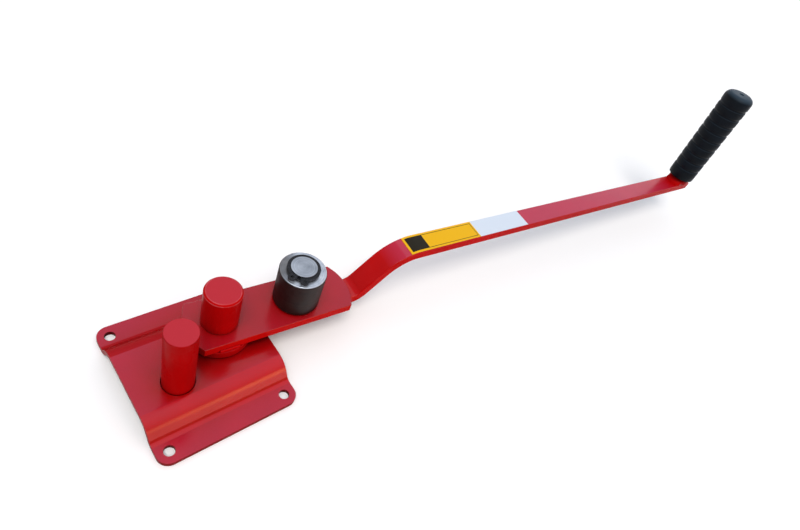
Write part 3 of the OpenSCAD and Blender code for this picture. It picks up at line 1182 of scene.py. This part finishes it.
@dataclass
class HandGrip:
    """The upright handle at the arm's end: its weld, disc, rod and moulded grip."""

    lever: LeverFrame
    handle_u: float = 565.8
    arm_top: float = 47.463
    lean: float = 3.3
    grip_z: float = 7.742
    length: float = 108.5
    foot_r: float = 14.6
    head_r: float = 15.5
    bore_r: float = 7.0
    bore_top: float = 96.5
    round_r: float = 6.0
    rings: int = 8
    ring_start: float = 13.8
    ring_parts: float = 5.0
    groove: float = 0.85
    groove_shape: tuple[tuple[float, float], ...] = (
        (-1, 0), (-0.6, 0.35), (-0.25, 0.9), (0.25, 0.9), (0.6, 0.35), (1, 0)
    )
    foot_shape: tuple[tuple[float, float], ...] = ((1.2, 0.0), (0.3, 0.35), (0.0, 1.3))
    dimple_shape: tuple[tuple[float, float], ...] = ((2.8, 0.0), (2.0, 0.9), (0.0, 1.2))
    dome_steps: int = 8
    spin_steps: int = 96
    disc_edge: float = 0.4
    weld_edge: float = 0.3

    @property
    def axis(self) -> Matrix:
        """The handle's leaning frame, from the top of the arm."""
        return (
            self.lever.matrix
            @ Matrix.Translation((self.handle_u * MM, 0, self.arm_top * MM))
            @ Matrix.Rotation(math.radians(-self.lean), 4, "X")
        )

    def wall(self, z: float) -> float:
        """Give the tapered grip's radius at a height."""
        return self.foot_r + (self.head_r - self.foot_r) * z / self.length

    def profile(self) -> list[tuple[float, float]]:
        """Draw the grip's half section, from the bore's edge to the top's middle.

        Returns:
            Radius and height of each point.
        """
        points = [(self.bore_r, 0.0)]
        points += [(self.wall(0) - inset, z) for inset, z in self.foot_shape]
        pitch = (self.length - 2 * self.ring_start) / self.rings
        half = pitch / self.ring_parts
        for ring in range(self.rings + 1):
            middle = self.ring_start + ring * pitch
            for share, depth in self.groove_shape:
                z = middle + share * half
                points.append((self.wall(z) - depth * self.groove, z))
        for step in range(self.dome_steps + 1):
            turn = math.pi / 2 * step / self.dome_steps
            points.append((
                self.head_r - self.round_r + self.round_r * math.cos(turn),
                self.length - self.round_r + self.round_r * math.sin(turn),
            ))
        points += [(radius, self.length - depth) for radius, depth in self.dimple_shape]
        return points

    def build(self, frame: Mapping[str, Any], finishes: Finishes) -> None:
        """Build and dress the handle.

        Args:
            frame: The loaded frame.
            finishes: The finishes.
        """
        shape = bmesh.new()
        rows = self.profile() + [(0.0, self.bore_top), (self.bore_r, self.bore_top), (self.bore_r, 0.0)]
        points = [shape.verts.new((r * MM, 0, (z + self.grip_z) * MM)) for r, z in rows]
        edges = [shape.edges.new(pair) for pair in zip(points, points[1:]) if pair[0].co != pair[1].co]
        bmesh.ops.spin(
            shape, geom=points + edges, cent=(0, 0, 0), axis=(0, 0, 1), angle=2 * math.pi,
            steps=self.spin_steps, use_merge=True,
        )
        bmesh.ops.remove_doubles(shape, verts=shape.verts, dist=MERGE_MM * MM)
        bmesh.ops.recalc_face_normals(shape, faces=shape.faces)
        bmesh.ops.transform(shape, matrix=self.axis, verts=shape.verts)
        settle(shape, "grip_moulded", Body.LEVER, finishes.rubber, ["grip"])
        keep_flats(settle(
            softened(frame, "handle_disc", self.disc_edge), "handle_disc_painted", Body.LEVER,
            finishes.enamel, ["handle_disc"],
        ))
        settle(
            softened(frame, "handle_weld", self.weld_edge, 2), "handle_weld_bead", Body.LEVER,
            finishes.enamel, ["handle_weld"],
        )
        paint_node(frame, "handle_rod", finishes.enamel)


@dataclass
class Studio:
    """Camera, floor and soft light. The camera stands in millimetres, the floor and lights in metres."""

    camera_at: tuple[float, float, float] = (-110.79, -186.93, 364.75)
    right: tuple[float, float, float] = (0.74734, -0.59003, 0.30552)
    down: tuple[float, float, float] = (-0.29317, -0.70546, -0.64527)
    forward: tuple[float, float, float] = (0.59626, 0.39267, -0.70020)
    lens: float = 25.841
    sensor: float = 36.0
    near_clip: float = 0.01
    sky_light: float = 0.88
    horizon: str = "#a8aaae"
    zenith: str = "#eef4ff"
    sun_light: float = 1.5
    sun_colour: str = "#fff8ee"
    sun_from: tuple[float, float, float] = (-0.3, -0.3, 0.9)
    sun_degrees: float = 30.0
    strip_light: float = 0.072
    strip_colour: str = "#ffa45c"
    strip_from: tuple[float, float, float] = (0.2, -0.55, 0.16)
    strip_size: tuple[float, float] = (0.5, 0.22)
    strip_spread: float = 40.0
    floor_bounce: str = "#b0b0b0"
    floor_reach: float = 5.0
    floor_z: float = -0.0002
    cove: float = 2.0
    cove_steps: int = 12
    floor_steps: int = 64
    wall_top: float = 3.0
    wall_glow: float = 0.5
    glow_below: float = 0.9

    def camera(self) -> None:
        """Set the camera at the photograph's viewing angle."""
        data = bpy.data.cameras.new("view")
        data.sensor_width = self.sensor
        data.lens = self.lens
        data.clip_start = self.near_clip
        camera = bpy.data.objects.new("view", data)
        bpy.context.scene.collection.objects.link(camera)
        axes = Matrix((self.right, [-c for c in self.down], [-c for c in self.forward])).transposed()
        camera.matrix_world = Matrix.Translation(Vector(self.camera_at) * MM) @ axes.to_4x4()
        bpy.context.scene.camera = camera

    def floor(self) -> None:
        """Lay a plain floor that curves up to a wall, white to the eye and in reflections."""
        material, tree, surface = start_material("white_floor")
        path = add(tree, "LightPath")
        seen = add(
            tree, "Math", {0: path.outputs["Is Camera Ray"], 1: path.outputs["Is Glossy Ray"]},
            operation="ADD",
        )
        shown = add(
            tree, "Math", {0: seen, 1: path.outputs["Is Transmission Ray"]},
            operation="ADD", use_clamp=True,
        )
        colour = add(
            tree, "Mix", {0: shown, 6: linear(self.floor_bounce), 7: linear(WHITE)}, data_type="RGBA"
        )
        facing = add(tree, "SeparateXYZ", {"Vector": add(tree, "NewGeometry").outputs["Normal"]})
        steep = add(
            tree, "MapRange",
            {
                "Value": facing.outputs["Z"], "From Min": 1.0, "From Max": self.glow_below,
                "To Max": self.wall_glow,
            },
        )
        glow = add(tree, "Math", {0: steep, 1: shown}, operation="MULTIPLY")
        shader = add(
            tree, "BsdfPrincipled",
            {
                "Base Color": colour, "Roughness": 1.0, "Specular IOR Level": 0.0,
                "Emission Color": linear(WHITE), "Emission Strength": glow,
            },
        )
        tree.links.new(shader.outputs["BSDF"], surface)
        shape = bmesh.new()
        rows = [(0.0, 0.0), (self.floor_reach, 0.0)]
        for step in range(1, self.cove_steps + 1):
            turn = math.pi / 2 * step / self.cove_steps
            rows.append((
                self.floor_reach + self.cove * math.sin(turn), self.cove * (1 - math.cos(turn))
            ))
        rows.append((self.floor_reach + self.cove, self.wall_top))
        points = [shape.verts.new((reach, 0, height + self.floor_z)) for reach, height in rows]
        edges = [shape.edges.new(pair) for pair in zip(points, points[1:])]
        bmesh.ops.spin(
            shape, geom=points + edges, cent=(0, 0, 0), axis=(0, 0, 1), angle=2 * math.pi,
            steps=self.floor_steps, use_merge=True,
        )
        bmesh.ops.remove_doubles(shape, verts=shape.verts, dist=MM)
        for face in shape.faces:
            face.smooth = True
        mesh = bpy.data.meshes.new("floor")
        shape.to_mesh(mesh)
        shape.free()
        mesh.materials.append(material)
        floor = bpy.data.objects.new("floor", mesh)
        bpy.context.scene.collection.objects.link(floor)

    def light(self) -> None:
        """Light the scene from a soft sky, paler overhead than at the horizon, and one broad sun."""
        world = bpy.data.worlds.new("soft_sky")
        bpy.context.scene.world = world
        world.use_nodes = True
        tree = world.node_tree
        tree.nodes.clear()
        direction = add(tree, "SeparateXYZ", {"Vector": add(tree, "TexCoord").outputs["Generated"]})
        height = add(tree, "MapRange", {"Value": direction.outputs["Z"], "From Min": 0.0, "From Max": 0.8})
        colour = ramp(tree, height, [(0.0, self.horizon), (1.0, self.zenith)])
        sky = add(tree, "Background", {"Color": colour, "Strength": self.sky_light})
        output = add(tree, "OutputWorld")
        tree.links.new(sky.outputs["Background"], output.inputs["Surface"])
        data = bpy.data.lights.new("broad_sun", "SUN")
        data.energy = self.sun_light
        data.angle = math.radians(self.sun_degrees)
        data.color = linear(self.sun_colour)[:3]
        sun = bpy.data.objects.new("broad_sun", data)
        bpy.context.scene.collection.objects.link(sun)
        sun.matrix_world = Vector(self.sun_from).to_track_quat("Z", "Y").to_matrix().to_4x4()

    def strip(self) -> None:
        """Hang a narrow warm strip light in front, which runs along the base's folds."""
        data = bpy.data.lights.new("front_strip", "AREA")
        data.shape = "RECTANGLE"
        data.size, data.size_y = self.strip_size
        data.spread = math.radians(self.strip_spread)
        data.energy = self.strip_light
        data.color = linear(self.strip_colour)[:3]
        strip = bpy.data.objects.new("front_strip", data)
        bpy.context.scene.collection.objects.link(strip)
        place = Vector(self.strip_from)
        strip.matrix_world = Matrix.Translation(place) @ place.to_track_quat("Z", "Y").to_matrix().to_4x4()

    def build(self) -> None:
        """Build the studio."""
        bpy.context.scene.view_settings.view_transform = "Standard"
        self.camera()
        self.floor()
        self.light()
        self.strip()
        LOG.info("studio ready")


def main() -> None:
    """Build the scene: the frame, the finishes, each sub-assembly and the studio."""
    logging.basicConfig(level=logging.INFO, format="%(name)s: %(message)s")
    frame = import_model()
    lever = LeverFrame()
    roller_set = RollerSet(lever)
    finishes = build_finishes(roller_set.axis)
    BenchBase().build(frame, finishes)
    LeverHead(lever).build(frame, finishes)
    CrankedArm(lever).build(frame, finishes)
    roller_set.build(frame, finishes)
    HandGrip(lever).build(frame, finishes)
    Studio().build()


if __name__ == "__main__":
    main()
